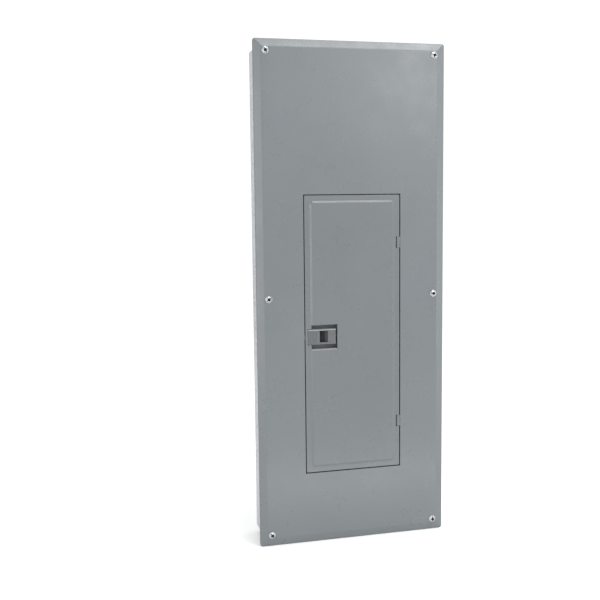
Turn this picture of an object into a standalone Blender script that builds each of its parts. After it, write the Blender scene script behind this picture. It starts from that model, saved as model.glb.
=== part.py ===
"""Residential load center: a flush-mount breaker enclosure with trim, hinged door and interior.

The origin is the centre of the enclosure's back face. +X is right, +Z is up and the front
faces -Y. Every size below is in millimetres, and the helpers turn it into metres.
"""

import math

import bmesh
import bpy
from mathutils import Vector

MM = 0.001

# Enclosure, folded from sheet steel.
BOX_WIDTH = 361.95
BOX_HEIGHT = 962.15
BOX_DEPTH = 95.25
BOX_SHEET = 1.5
FLANGE = 15.0
BOX_BEND = 1.2

# Trim: a wide flat face with a shallow sloped border and a short return.
COVER_WIDTH = 387.35
COVER_HEIGHT = 987.55
COVER_FACE_Y = -98.2
SHEET = 1.2
SLOPE_WIDTH = 15.5
SLOPE_DROP = 5.0
RETURN_DEPTH = 2.8
COVER_CORNER = 5.0

# Opening in the trim, and the door inside it.
OPENING_HALF = 99.75
OPENING_TOP = 201.0
OPENING_BOTTOM = -351.5
DOOR_GAP = 1.8
DOOR_FLANGE = 7.0
DOOR_BORDER = 11.0
DOOR_SLOPE = 3.0
DOOR_RISE = 2.0

# Door hinge on the right: axis position, and the two knuckles.
HINGE_X = OPENING_HALF - DOOR_GAP - 3.0
HINGE_Y = COVER_FACE_Y + 3.2
HINGE_HEIGHTS = (105.0, -257.0)
KNUCKLE_RADIUS = 2.4
KNUCKLE_BORE = 1.4
PIN_RADIUS = 1.1

# Dead front: a tray behind the opening.
TRAY_FRONT_Y = -80.7
TRAY_HALF = 105.0
TRAY_TOP = 203.0
TRAY_BOTTOM = -353.5
NUT_HEIGHTS = (150.0, -300.0)
NUT_X = 111.5

# Cover screws.
COVER_SCREW_X = 170.5
COVER_SCREW_HEIGHTS = (471.0, 0.0, -471.0)

# Breaker rows.
PITCH = 19.05
ROWS = 20
FIRST_ROW = 40.5
BREAKER_HALF = 9.35
HANDLE_TILT = math.radians(18.0)

# Latch on the door's left, and the places of its spring's two ends.
LATCH_Z = -77.25
SPRING_ENDS = (-48.6, -27.4)

# Main breaker at the top of the interior, its handle's axis, and its two line lugs.
MAIN_HALF = 55.0
MAIN_BOTTOM = 60.0
MAIN_TOP = 235.0
MAIN_PIVOT = (0.0, -68.0, 131.0)
LUG_X = 27.0
LUG_BORE_Y = -42.0

# Ground bar's fixing screws, and the bonding screw through the left neutral bar.
GROUND_SCREW_HEIGHTS = (-204.0, -326.0)
BOND_HEIGHT = 52.0


def clear_scene():
    for obj in list(bpy.data.objects):
        bpy.data.objects.remove(obj, do_unlink=True)


def make_collection(name, hidden):
    group = bpy.data.collections.new(name)
    bpy.context.scene.collection.children.link(group)
    group.hide_render = hidden
    return group


def material(name, colour, roughness, metallic=0.0):
    made = bpy.data.materials.new(name)
    made.use_nodes = True
    shader = made.node_tree.nodes["Principled BSDF"]
    shader.inputs["Base Color"].default_value = (*colour, 1.0)
    shader.inputs["Roughness"].default_value = roughness
    shader.inputs["Metallic"].default_value = metallic
    made.diffuse_color = (*colour, 1.0)
    return made


def new_object(name, mesh, location=(0.0, 0.0, 0.0)):
    """Put a mesh in the parts collection, at a place given in metres."""
    obj = bpy.data.objects.new(name, mesh)
    obj.location = location
    PARTS.objects.link(obj)
    return obj


def add_boxes(bm, boxes):
    """Add one cube for each ((x, x), (y, y), (z, z)) span."""
    for spans in boxes:
        made = bmesh.ops.create_cube(bm, size=1.0)["verts"]
        for vert in made:
            for axis, (low, high) in enumerate(spans):
                middle = (low + high) / 2
                vert.co[axis] = (middle + vert.co[axis] * (high - low)) * MM


def blocks(name, boxes):
    """An object made of boxes placed in the row frame, its origin at the first box's centre."""
    bm = bmesh.new()
    add_boxes(bm, boxes)
    centre = Vector([sum(span) / 2 * MM for span in boxes[0]])
    bmesh.ops.translate(bm, verts=bm.verts, vec=-centre)
    mesh = bpy.data.meshes.new(name)
    bm.to_mesh(mesh)
    bm.free()
    return new_object(name, mesh, centre)


def cylinders(name, centres, radius, length, axis, segments=16):
    """Equal cylinders along one axis, their middles at the given places."""
    bm = bmesh.new()
    for centre in centres:
        made = bmesh.ops.create_cone(
            bm, cap_ends=True, segments=segments,
            radius1=radius * MM, radius2=radius * MM, depth=length * MM,
        )["verts"]
        for vert in made:
            x, y, z = vert.co
            turned_co = {"X": (z, x, y), "Y": (x, -z, y), "Z": (x, y, z)}[axis]
            vert.co = Vector(turned_co) + Vector(centre) * MM
    origin = Vector(centres[0]) * MM
    bmesh.ops.translate(bm, verts=bm.verts, vec=-origin)
    mesh = bpy.data.meshes.new(name)
    bm.to_mesh(mesh)
    bm.free()
    mesh.shade_smooth()
    mesh.set_sharp_from_angle(angle=math.radians(40))
    return new_object(name, mesh, origin)


def combine(obj, tool, operation="DIFFERENCE"):
    """Cut or join with a helper, which moves to the cutters collection."""
    PARTS.objects.unlink(tool)
    CUTTERS.objects.link(tool)
    tool.hide_render = True
    tool.display_type = "WIRE"
    modifier = obj.modifiers.new(operation.title(), "BOOLEAN")
    modifier.operation = operation
    modifier.solver = "EXACT"
    modifier.object = tool


def cut_boxes(obj, boxes):
    """Cut boxes out of a solid, one helper each, since they may overlap one another."""
    for box in boxes:
        combine(obj, blocks(f"{obj.name}_cut_{len(obj.modifiers)}", [box]))


def join_boxes(obj, boxes):
    """Add boxes to a solid, one helper each."""
    for box in boxes:
        combine(obj, blocks(f"{obj.name}_add_{len(obj.modifiers)}", [box]), "UNION")


def cut_holes(obj, centres, radius, length, axis, segments=16):
    """Cut round holes that don't overlap, with one helper."""
    label = f"{obj.name}_holes_{len(obj.modifiers)}"
    combine(obj, cylinders(label, centres, radius, length, axis, segments))


def join_rods(obj, centres, radius, length, axis, segments=16):
    """Add round rods that don't overlap, with one helper."""
    label = f"{obj.name}_rods_{len(obj.modifiers)}"
    combine(obj, cylinders(label, centres, radius, length, axis, segments), "UNION")


def round_front_edges(obj, offset):
    """Round the edges that lie all in front of a block's middle."""
    bm = bmesh.new()
    bm.from_mesh(obj.data)
    front = [edge for edge in bm.edges if max(vert.co.y for vert in edge.verts) < 0]
    bmesh.ops.bevel(
        bm, geom=front, offset=offset * MM, segments=2, profile=0.5, affect="EDGES",
    )
    bm.to_mesh(obj.data)
    bm.free()


def prism(name, outline, low, high):
    """A flat outline in X and Y, extruded along Z from low to high."""
    curve = bpy.data.curves.new(name, "CURVE")
    curve.dimensions = "2D"
    curve.fill_mode = "BOTH"
    curve.extrude = (high - low) / 2 * MM
    spline = curve.splines.new("POLY")
    spline.points.add(len(outline) - 1)
    for point, (x, y) in zip(spline.points, outline):
        point.co = (x * MM, y * MM, 0.0, 1.0)
    spline.use_cyclic_u = True
    guide = new_object(name + "_outline", curve, (0.0, 0.0, (low + high) / 2 * MM))
    bpy.context.view_layer.update()
    graph = bpy.context.evaluated_depsgraph_get()
    mesh = bpy.data.meshes.new_from_object(guide.evaluated_get(graph))
    bm = bmesh.new()
    bm.from_mesh(mesh)
    bmesh.ops.remove_doubles(bm, verts=bm.verts, dist=1e-6)
    bm.to_mesh(mesh)
    bm.free()
    place = guide.matrix_world.copy()
    bpy.data.objects.remove(guide)
    obj = new_object(name, mesh)
    obj.matrix_world = place
    return obj


def turned(name, profile, location, steps=16):
    """A profile of (radius, height) pairs, top to bottom, spun about an axis facing the front."""
    mesh = bpy.data.meshes.new(name)
    bm = bmesh.new()
    verts = [bm.verts.new((radius * MM, 0.0, height * MM)) for radius, height in profile]
    for first, second in zip(verts, verts[1:]):
        bm.edges.new((first, second))
    bm.to_mesh(mesh)
    bm.free()
    obj = new_object(name, mesh, Vector(location) * MM)
    obj.rotation_euler.x = math.radians(90)
    screw = obj.modifiers.new("Screw", "SCREW")
    screw.steps = steps
    screw.render_steps = steps
    screw.use_merge_vertices = True
    screw.merge_threshold = 0.00001
    screw.use_smooth_shade = True
    return obj


def screw_piece(name, place, head_radius, head_height, shank_radius, shank_length, slot=1.0):
    """A round-head screw: place is the centre of the head's underside, slot the driver slot."""
    x, y, z = place
    obj = turned(
        name,
        (
            (0.0, head_height),
            (head_radius * 0.55, head_height * 0.92),
            (head_radius * 0.88, head_height * 0.55),
            (head_radius, 0.0),
            (shank_radius, 0.0),
            (shank_radius, -shank_length),
            (0.0, -shank_length),
        ),
        place,
    )
    half = head_radius * 0.62
    depth = y - head_height * 0.5
    across = ((x - half, x + half), (y - head_height - 1.0, depth), (z - slot / 2, z + slot / 2))
    cut_boxes(obj, [across])
    return obj


def pressed_sheet(name, centre_z, half_x, half_z, face_y, corner, steps, skirt):
    """A pressed sheet: a rectangle with inset steps and a skirt, corners rounded, then thickened.

    Each step is (width, rise), where a positive rise brings the inner part forward.
    """
    bm = bmesh.new()
    bmesh.ops.create_grid(bm, x_segments=1, y_segments=1, size=1.0)
    for vert in bm.verts:
        vert.co = Vector((vert.co.x * half_x, 0.0, vert.co.y * half_z)) * MM
    bm.faces.ensure_lookup_table()
    face = bm.faces[0]
    face.normal_update()
    if face.normal.y > 0:
        bmesh.ops.reverse_faces(bm, faces=[face])
    rim = bmesh.ops.extrude_edge_only(bm, edges=bm.edges[:])["geom"]
    skirt_verts = [item for item in rim if isinstance(item, bmesh.types.BMVert)]
    bmesh.ops.translate(bm, verts=skirt_verts, vec=(0.0, skirt * MM, 0.0))
    for width, rise in steps:
        face.normal_update()
        bmesh.ops.inset_region(
            bm, faces=[face], thickness=width * MM, depth=rise * MM, use_even_offset=True,
        )
    falling = [
        edge for edge in bm.edges
        if abs(edge.verts[0].co.y - edge.verts[1].co.y) > 0.1 * MM
    ]
    bmesh.ops.bevel(
        bm, geom=falling, offset=corner * MM, segments=3, profile=0.5, affect="EDGES",
    )
    bmesh.ops.recalc_face_normals(bm, faces=bm.faces)
    front = max(bm.faces, key=lambda item: item.calc_area())
    if front.normal.y > 0:
        bmesh.ops.reverse_faces(bm, faces=bm.faces[:])
    mesh = bpy.data.meshes.new(name)
    bm.to_mesh(mesh)
    bm.free()
    obj = new_object(name, mesh, Vector((0.0, face_y, centre_z)) * MM)
    solidify = obj.modifiers.new("Solidify", "SOLIDIFY")
    solidify.thickness = SHEET * MM
    solidify.offset = -1.0
    solidify.use_even_offset = True
    return obj


def painted(objects, made):
    for obj in objects:
        obj.data.materials.clear()
        obj.data.materials.append(made)


def empty_at(name, place):
    obj = bpy.data.objects.new(name, None)
    obj.empty_display_size = 0.03
    obj.location = Vector(place) * MM
    PARTS.objects.link(obj)
    return obj


def attach(parent, children):
    """Parent without moving anything."""
    bpy.context.view_layer.update()
    for child in children:
        child.parent = parent
        child.matrix_parent_inverse = parent.matrix_world.inverted()


def row_height(row):
    """Centre height of a breaker row, counted from 1 at the top."""
    return FIRST_ROW - (row - 1) * PITCH


# ---------------------------------------------------------------- enclosure


def build_box():
    """Open box with an inward flange round its mouth, folded at the front edges."""
    half_x = BOX_WIDTH / 2
    half_z = BOX_HEIGHT / 2
    box = blocks("enclosure_box", [((-half_x, half_x), (-BOX_DEPTH, 0.0), (-half_z, half_z))])
    round_front_edges(box, BOX_BEND)
    inner_x = half_x - BOX_SHEET
    inner_z = half_z - BOX_SHEET
    mouth_x = half_x - FLANGE
    mouth_z = half_z - FLANGE
    cut_boxes(box, [
        ((-inner_x, inner_x), (-BOX_DEPTH + BOX_SHEET, -BOX_SHEET), (-inner_z, inner_z)),
        ((-mouth_x, mouth_x), (-BOX_DEPTH - 1.0, -BOX_DEPTH + 3.0), (-mouth_z, mouth_z)),
    ])
    places = [(x, -BOX_DEPTH, z) for x, z in cover_screw_places()]
    cut_holes(box, places, 2.6, 6.0, "Y", 12)
    nails = [(x, 0.0, z) for x in (-120.0, 120.0) for z in (-430.0, 430.0)]
    cut_holes(box, nails, 3.4, 6.0, "Y", 12)
    small = [(x, 0.0, z) for x, z in pan_screw_places()]
    small += [(-145.0, 0.0, z) for z in GROUND_SCREW_HEIGHTS]
    small.append((-105.0, 0.0, BOND_HEIGHT))
    cut_holes(box, small, 2.8, 6.0, "Y", 12)
    painted([box], GALVANISED)


def cover_screw_places():
    return [(side * COVER_SCREW_X, z) for z in COVER_SCREW_HEIGHTS for side in (-1, 1)]


def pan_screw_places():
    return [(-95.0, 243.0), (95.0, 243.0), (-80.0, -359.0), (80.0, -359.0)]


# ---------------------------------------------------------------- interior


def build_pan():
    """Sheet pan with four feet and the two rails that the breakers' outer ends hook on."""
    pan = blocks("interior_pan", [((-112.0, 112.0), (-13.2, -12.0), (-366.0, 252.0))])
    hook = ((84.0, -12.6), (85.2, -12.6), (85.2, -26.6), (76.5, -26.6), (76.5, -25.4), (84.0, -25.4))
    for side in (-1, 1):
        outline = [(side * x, y) for x, y in hook]
        combine(pan, prism(f"interior_pan_rail_{side}", outline, -335.0, 52.0), "UNION")
    feet = [(x, -7.2, z) for x, z in pan_screw_places()]
    join_rods(pan, feet, 5.6, 10.8, "Y", 12)
    cut_holes(pan, feet, 2.9, 30.0, "Y", 12)
    cut_holes(pan, [(-105.0, -12.6, BOND_HEIGHT)], 2.8, 8.0, "Y", 12)
    painted([pan], GALVANISED)
    screws = []
    for number, (x, z) in enumerate(pan_screw_places(), 1):
        name = f"interior_screw_{number}"
        screws.append(screw_piece(name, (x, -13.5, z), 5.0, 3.0, 2.4, 12.8))
    painted(screws, ZINC)


def build_bus():
    """Plastic bus support, and two aluminium bars whose stabs alternate down the middle."""
    support = blocks("bus_support", [((-24.5, 24.5), (-33.7, -13.5), (-336.0, 58.0))])
    join_boxes(support, [((-4.5, 4.5), (-38.8, -33.0), (-336.0, 58.0))])
    painted([support], BLACK_PLASTIC)
    bars = []
    for side, letter in ((-1, "a"), (1, "b")):
        span = tuple(sorted((side * 6.0, side * 22.0)))
        bar = blocks(f"bus_bar_{letter}", [(span, (-37.2, -34.0), (-333.0, 76.0))])
        first = 1 if side < 0 else 2
        heights = [row_height(row) for row in range(first, ROWS + 1, 2)]
        near = tuple(sorted((side * 9.0, side * 19.0)))
        feet = [(near, (-39.0, -36.9), (z - 6.0, z + 1.2)) for z in heights]
        stems = [(near, (-40.8, -37.6), (z - 1.2, z + 1.2)) for z in heights]
        blades = [((-17.0, 17.0), (-52.0, -40.5), (z - 1.2, z + 1.2)) for z in heights]
        combine(bar, blocks(f"bus_{letter}_feet", feet), "UNION")
        combine(bar, blocks(f"bus_{letter}_stems", stems), "UNION")
        combine(bar, blocks(f"bus_{letter}_blades", blades), "UNION")
        cut_holes(bar, [(side * 14.0, -35.6, 55.0)], 2.6, 8.0, "Y", 12)
        bars.append(bar)
    painted(bars, ALUMINIUM)
    straps = []
    bolts = []
    for side, letter in ((-1, "a"), (1, "b")):
        span = tuple(sorted((side * 6.0, side * 22.0)))
        strap = blocks(f"main_strap_{letter}", [(span, (-40.7, -37.5), (50.6, 84.0))])
        cut_holes(strap, [(side * 14.0, -39.0, 55.0)], 2.6, 8.0, "Y", 12)
        straps.append(strap)
        place = (side * 14.0, -41.0, 55.0)
        bolts.append(screw_piece(f"main_strap_bolt_{letter}", place, 4.0, 2.8, 2.2, 6.8))
    painted(straps, COPPER)
    painted(bolts, ZINC)


def build_neutral():
    """Neutral bars either side of the rails, their insulators, the cross strap and the lug."""
    for side, word in ((-1, "left"), (1, "right")):
        top = 60.0 if side < 0 else 104.0
        across = tuple(sorted((side * 101.0, side * 109.0)))
        prop = blocks(f"neutral_support_{word}", [(across, (-29.7, -13.5), (-350.0, top - 25.0))])
        below = (across[0] - 1.5, across[1] + 1.5)
        heights = [-330.0 + 60.0 * number for number in range(6)]
        cut_boxes(prop, [(below, (-22.0, -13.0), (z, z + 34.0)) for z in heights])
        painted([prop], BLACK_PLASTIC)
        bar = blocks(f"neutral_bar_{word}", [(across, (-40.0, -30.0), (-355.0, top))])
        screws = [(side * 105.0, -41.0, -332.0 + 24.0 * number) for number in range(15)]
        join_rods(bar, screws, 3.2, 3.0, "Y", 10)
        if side < 0:
            cut_holes(bar, [(-105.0, -35.0, BOND_HEIGHT)], 2.4, 14.0, "Y", 12)
        painted([bar], ALUMINIUM)
    strap = blocks("neutral_strap", [((-109.0, 109.0), (-43.5, -40.3), (-352.0, -341.0))])
    painted([strap], ALUMINIUM)
    lug = blocks("neutral_lug", [((93.0, 117.0), (-65.0, -40.3), (72.0, 100.0))])
    cut_holes(lug, [(105.0, -52.0, 86.0)], 8.0, 40.0, "Z", 20)
    cut_holes(lug, [(105.0, -63.0, 86.0)], 5.2, 10.0, "Y", 12)
    painted([lug], ALUMINIUM)
    lug_screw_piece("neutral_lug_screw", (105.0, -72.0, 86.0), 10.5)
    bond = screw_piece("bonding_screw", (-105.0, -40.4, BOND_HEIGHT), 4.2, 3.2, 2.0, 39.0)
    painted([bond], GREEN_SCREW)


def lug_screw_piece(name, place, length):
    """A set screw with a square socket, its outer end at place."""
    x, y, z = place
    obj = turned(
        name,
        ((0.0, 0.0), (4.2, 0.0), (4.8, -0.6), (4.8, -length), (0.0, -length)),
        place,
    )
    cut_boxes(obj, [((x - 2.0, x + 2.0), (y - 1.0, y + 4.0), (z - 2.0, z + 2.0))])
    painted([obj], ZINC)


def build_ground():
    """Ground bar on two feet, screwed to the back of the box."""
    bar = blocks("ground_bar", [((-149.0, -141.0), (-20.0, -10.0), (-332.0, -198.0))])
    feet = [((-149.0, -141.0), (-10.5, -1.8), span)
            for span in ((-332.0, -320.0), (-210.0, -198.0))]
    combine(bar, blocks("ground_feet", feet), "UNION")
    terminals = [(-145.0, -21.0, -308.0 + 12.0 * number) for number in range(8)]
    join_rods(bar, terminals, 3.2, 3.0, "Y", 10)
    places = [(-145.0, -12.0, z) for z in GROUND_SCREW_HEIGHTS]
    cut_holes(bar, places, 2.4, 30.0, "Y", 12)
    painted([bar], ALUMINIUM)
    screws = []
    for number, z in enumerate(GROUND_SCREW_HEIGHTS, 1):
        name = f"ground_bar_screw_{number}"
        screws.append(screw_piece(name, (-145.0, -20.4, z), 3.9, 2.6, 2.0, 19.8))
    painted(screws, ZINC)


# ---------------------------------------------------------------- main breaker


def build_main():
    """Main breaker: a base with its line lugs, and a cover with the handle's slot."""
    base = blocks("main_breaker_base", [
        ((-MAIN_HALF, MAIN_HALF), (-55.0, -13.5), (MAIN_BOTTOM, MAIN_TOP)),
    ])
    pockets = [((-24.0, -4.0), (-42.0, -30.0), (MAIN_BOTTOM - 2.0, 88.0))]
    pockets.append(((4.0, 24.0), (-42.0, -30.0), (MAIN_BOTTOM - 2.0, 88.0)))
    for side in (-1, 1):
        span = tuple(sorted((side * (LUG_X - 14.0), side * (LUG_X + 14.0))))
        pockets.append((span, (-56.0, -27.0), (197.0, MAIN_TOP + 2.0)))
    cut_boxes(base, pockets)
    cover = blocks("main_breaker_cover", [
        ((-MAIN_HALF, MAIN_HALF), (-79.0, -55.3), (MAIN_BOTTOM, MAIN_TOP)),
    ])
    join_boxes(cover, [((-30.0, 30.0), (-82.5, -78.0), (105.0, 158.0))])
    slots = [((-14.2, 14.2), (-84.0, -58.0), (MAIN_PIVOT[2] - 11.5, MAIN_PIVOT[2] + 11.5))]
    for side in (-1, 1):
        span = tuple(sorted((side * (LUG_X - 14.0), side * (LUG_X + 14.0))))
        slots.append((span, (-80.0, -54.0), (197.0, MAIN_TOP + 2.0)))
    cut_boxes(cover, slots)
    painted([base, cover], BLACK_PLASTIC)
    for side, word in ((-1, "left"), (1, "right")):
        x = side * LUG_X
        lug = blocks(f"main_lug_{word}", [((x - 12.5, x + 12.5), (-55.5, -27.5), (201.0, 231.0))])
        cut_holes(lug, [(x, LUG_BORE_Y, 216.0)], 8.5, 40.0, "Z", 20)
        cut_holes(lug, [(x, -54.0, 216.0)], 5.2, 10.0, "Y", 12)
        painted([lug], ALUMINIUM)
        lug_screw_piece(f"main_lug_screw_{word}", (x, -62.0, 216.0), 10.5)


def build_handle(name, pivot, axis, tilt, hub_radius, half_width, reach, thickness):
    """A toggle: a round hub on its pivot and a lever towards the front, tilted at rest."""
    obj = cylinders(name, [(0.0, 0.0, 0.0)], hub_radius, 2 * half_width, axis, 20)
    obj.location = Vector(pivot) * MM
    half = thickness / 2
    wide = (-half_width, half_width)
    thin = (-half, half)
    lever = ((wide if axis == "X" else thin), (-reach, 0.0), (thin if axis == "X" else wide))
    tool = blocks(name + "_lever", [lever])
    bpy.context.view_layer.update()
    narrow = 0.78
    for vert in tool.data.vertices:
        if vert.co.y < 0:
            vert.co.x *= narrow if axis == "Z" else 0.94
            vert.co.z *= narrow if axis == "X" else 0.94
    bevel = tool.modifiers.new("Bevel", "BEVEL")
    bevel.width = 0.8 * MM
    bevel.segments = 2
    tool.parent = obj
    combine(obj, tool, "UNION")
    if axis == "X":
        obj.rotation_euler.x = tilt
    else:
        obj.rotation_euler.z = tilt
    painted([obj], HANDLE_PLASTIC)


# ---------------------------------------------------------------- branch breakers


def branch_outline(side):
    """Breaker seen from above: stab notch at its inner end, hook notch at its outer end."""
    right = [
        (6.0, -41.3), (25.5, -41.3), (25.5, -22.0), (82.0, -22.0), (82.0, -23.7),
        (75.0, -23.7), (75.0, -28.4), (82.0, -28.4), (82.0, -79.0), (6.0, -79.0),
    ]
    return [(side * x, y) for x, y in right]


def build_branch(label, side, rows):
    """One plug-on breaker with a pole in each of the given neighbouring rows."""
    heights = [row_height(row) for row in rows]
    middle = sum(heights) / len(heights)
    low = min(heights) - BREAKER_HALF
    high = max(heights) + BREAKER_HALF
    case = prism(f"breaker_{label}_case", branch_outline(side), low, high)
    nose = tuple(sorted((side * 20.0, side * 62.0)))
    join_boxes(case, [(nose, (-82.5, -78.0), (low, high))])
    for number, z in enumerate(heights):
        letter = "_" + "ab"[number] if len(heights) > 1 else ""
        clip_slot = tuple(sorted((side * 4.0, side * 18.5)))
        notch = tuple(sorted((side * 68.0, side * 84.0)))
        slots = [
            (clip_slot, (-54.4, -39.0), (z - 4.2, z + 4.2)),
            (notch, (-80.0, -60.0), (z - 5.2, z + 5.2)),
        ]
        cut_boxes(case, slots)
        place = (side * 74.5, -52.0, z)
        cut_holes(case, [place], 2.3, 18.0, "Y", 12)
        leaf = tuple(sorted((side * 9.0, side * 16.0)))
        jaw = blocks(f"breaker_{label}_jaw{letter}", [(leaf, (-54.0, -52.8), (z - 3.0, z + 3.0))])
        combine(jaw, blocks(f"{jaw.name}_leaves", [
            (leaf, (-53.2, -42.0), (z - 3.0, z - 1.7)),
            (leaf, (-53.2, -42.0), (z + 1.7, z + 3.0)),
        ]), "UNION")
        painted([jaw], COPPER)
        screw = screw_piece(f"breaker_{label}_terminal_screw{letter}",
                            (side * 74.5, -60.4, z), 4.1, 2.8, 1.9, 15.0)
        painted([screw], ZINC)
    slot_x = tuple(sorted((side * 31.0, side * 51.0)))
    slot = blocks(f"breaker_{label}_handle_slot",
                  [(slot_x, (-84.0, -64.0), (middle - 5.3, middle + 5.3))])
    combine(case, slot)
    painted([case], BLACK_PLASTIC)
    build_handle(f"breaker_{label}_handle", (side * 41.0, -72.0, middle), "Z",
                 -side * HANDLE_TILT, 6.2, 4.9, 18.6, 6.6)
    return middle


# ---------------------------------------------------------------- trim, dead front and door


def build_cover():
    """Trim with its hinge tabs and the dead front's studs, and its six screws."""
    cover = pressed_sheet(
        "cover_trim", 0.0, COVER_WIDTH / 2, COVER_HEIGHT / 2, COVER_FACE_Y + SLOPE_DROP,
        COVER_CORNER, ((SLOPE_WIDTH, SLOPE_DROP),), RETURN_DEPTH,
    )
    cut_boxes(cover, [((-OPENING_HALF, OPENING_HALF), (-105.0, -85.0),
                       (OPENING_BOTTOM, OPENING_TOP))])
    places = [(x, COVER_FACE_Y, z) for x, z in cover_screw_places()]
    cut_holes(cover, places, 2.5, 8.0, "Y", 12)
    studs = [(x, -94.3, z) for x in (-NUT_X, NUT_X) for z in NUT_HEIGHTS]
    join_rods(cover, studs, 2.0, 6.6, "Y", 10)
    tab_y = (HINGE_Y - KNUCKLE_RADIUS, HINGE_Y - KNUCKLE_RADIUS + 1.2)
    for z in HINGE_HEIGHTS:
        span = (z - 10.9, z + 10.9)
        join_boxes(cover, [((HINGE_X, HINGE_X + 8.5), tab_y, span)])
    hinge = [(HINGE_X, HINGE_Y, z) for z in HINGE_HEIGHTS]
    join_rods(cover, hinge, KNUCKLE_RADIUS, 21.8, "Z", 16)
    cut_holes(cover, hinge, KNUCKLE_BORE, 40.0, "Z", 12)
    painted([cover], COVER_PAINT)
    screws = []
    for number, (x, z) in enumerate(cover_screw_places(), 1):
        place = (x, COVER_FACE_Y - 0.3, z)
        screws.append(screw_piece(f"cover_screw_{number}", place, 6.7, 3.3, 2.1, 14.0, 1.3))
    painted(screws, ZINC)
    return [cover] + screws


def build_dead_front(windows):
    """Tray whose floor carries the breaker windows and whose flange hangs on the trim's studs."""
    outer = TRAY_HALF + SHEET
    tray = blocks("deadfront", [
        ((-outer, outer), (-96.3, TRAY_FRONT_Y + SHEET), (TRAY_BOTTOM - SHEET, TRAY_TOP + SHEET)),
    ])
    flange = ((-outer - 11.0, outer + 11.0), (-96.3, -96.3 + SHEET), (TRAY_BOTTOM - 8.0,
                                                                    TRAY_TOP + 8.0))
    join_boxes(tray, [flange])
    hollow = ((-TRAY_HALF, TRAY_HALF), (-100.0, TRAY_FRONT_Y), (TRAY_BOTTOM, TRAY_TOP))
    cut_boxes(tray, [hollow])
    combine(tray, blocks("deadfront_windows", windows))
    studs = [(x, -95.0, z) for x in (-NUT_X, NUT_X) for z in NUT_HEIGHTS]
    cut_holes(tray, studs, 2.5, 6.0, "Y", 12)
    painted([tray], COVER_PAINT)
    nuts = []
    for number, (x, _, z) in enumerate(studs, 1):
        nut = cylinders(f"deadfront_nut_{number}", [(x, -93.3, z)], 3.9, 2.6, "Y", 6)
        cut_holes(nut, [(x, -93.3, z)], 2.35, 8.0, "Y", 12)
        nuts.append(nut)
    painted(nuts, ZINC)
    return [tray] + nuts


def build_door():
    """Raised-panel door with its hinge ears and pins, and the directory card behind it."""
    half_x = OPENING_HALF - DOOR_GAP
    half_z = (OPENING_TOP - OPENING_BOTTOM) / 2 - DOOR_GAP
    middle = (OPENING_TOP + OPENING_BOTTOM) / 2
    door = pressed_sheet(
        "door", middle, half_x, half_z, COVER_FACE_Y, 1.5,
        ((DOOR_BORDER, 0.0), (DOOR_SLOPE, DOOR_RISE)), DOOR_FLANGE,
    )
    cut_boxes(door, [
        ((-86.5, -34.2), (-105.0, -85.0), (LATCH_Z - 22.5, LATCH_Z + 22.5)),
        ((-93.2, -80.0), (-105.0, -85.0), (LATCH_Z - 16.2, LATCH_Z + 16.2)),
        ((-100.0, -95.5), (-97.2, -91.8), (LATCH_Z - 6.0, LATCH_Z + 6.0)),
    ])
    for z in HINGE_HEIGHTS:
        cut_boxes(door, [((HINGE_X - 4.4, HINGE_X + 6.0), (-105.0, -85.0),
                          (z - 11.5, z + 11.5))])
        join_boxes(door, [((90.0, 97.3), (-97.4, -91.7), span)
                          for span in ((z + 11.5, z + 15.0), (z - 15.0, z - 11.5))])
    hinge = [(HINGE_X, HINGE_Y, z) for z in HINGE_HEIGHTS]
    cut_holes(door, hinge, KNUCKLE_BORE, 60.0, "Z", 12)
    painted([door], DOOR_PAINT)
    pins = []
    for number, (x, y, z) in enumerate(hinge, 1):
        pins.append(cylinders(f"hinge_pin_{number}", [(x, y, z)], PIN_RADIUS, 29.6, "Z", 12))
    painted(pins, ZINC)
    card = blocks("directory_card", [((-70.0, 70.0), (-98.2, -97.7), (-322.0, -122.0))])
    painted([card], CARD)
    return [door, card] + pins


def build_latch():
    """Sliding latch: a housing behind the door, a plate with a finger cup, and its spring."""
    low = LATCH_Z - 31.0
    high = LATCH_Z + 31.0
    housing = blocks("latch_housing", [((-95.2, -24.5), (-96.3, -86.3), (low, high))])
    cut_boxes(housing, [
        ((-93.6, -26.5), (-98.0, -94.0), (LATCH_Z - 21.0, LATCH_Z + 21.0)),
        ((-93.6, -26.5), (-95.0, -88.0), (LATCH_Z - 13.4, LATCH_Z + 13.4)),
        ((-97.0, -92.0), (-98.0, -92.6), (LATCH_Z - 5.0, LATCH_Z + 5.0)),
    ])
    painted([housing], LATCH_PLASTIC)
    slider = blocks("latch_slider", [((-92.3, -35.6), (-98.6, -96.2),
                                      (LATCH_Z - 15.4, LATCH_Z + 15.4))])
    join_boxes(slider, [
        ((-71.5, -49.5), (-97.0, -88.4), (LATCH_Z - 12.9, LATCH_Z + 12.9)),
        ((-99.2, -90.0), (-96.7, -93.3), (LATCH_Z - 4.0, LATCH_Z + 4.0)),
    ])
    cut_boxes(slider, [((-68.8, -52.0), (-100.0, -89.8), (LATCH_Z - 11.4, LATCH_Z + 11.4))])
    painted([slider], LATCH_PLASTIC)
    turns = 5
    count = turns * 10
    curve = bpy.data.curves.new("latch_spring", "CURVE")
    curve.dimensions = "3D"
    curve.bevel_depth = 0.35 * MM
    curve.bevel_resolution = 2
    curve.use_fill_caps = True
    spline = curve.splines.new("POLY")
    spline.points.add(count)
    start, end = SPRING_ENDS
    for number, point in enumerate(spline.points):
        angle = 2 * math.pi * number / 10
        x = start + (end - start) * number / count
        point.co = (x * MM, 2.1 * math.cos(angle) * MM, 2.1 * math.sin(angle) * MM, 1.0)
    spring = new_object("latch_spring", curve, Vector((0.0, -91.2, LATCH_Z)) * MM)
    painted([spring], ZINC)
    return housing, slider, spring


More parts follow.
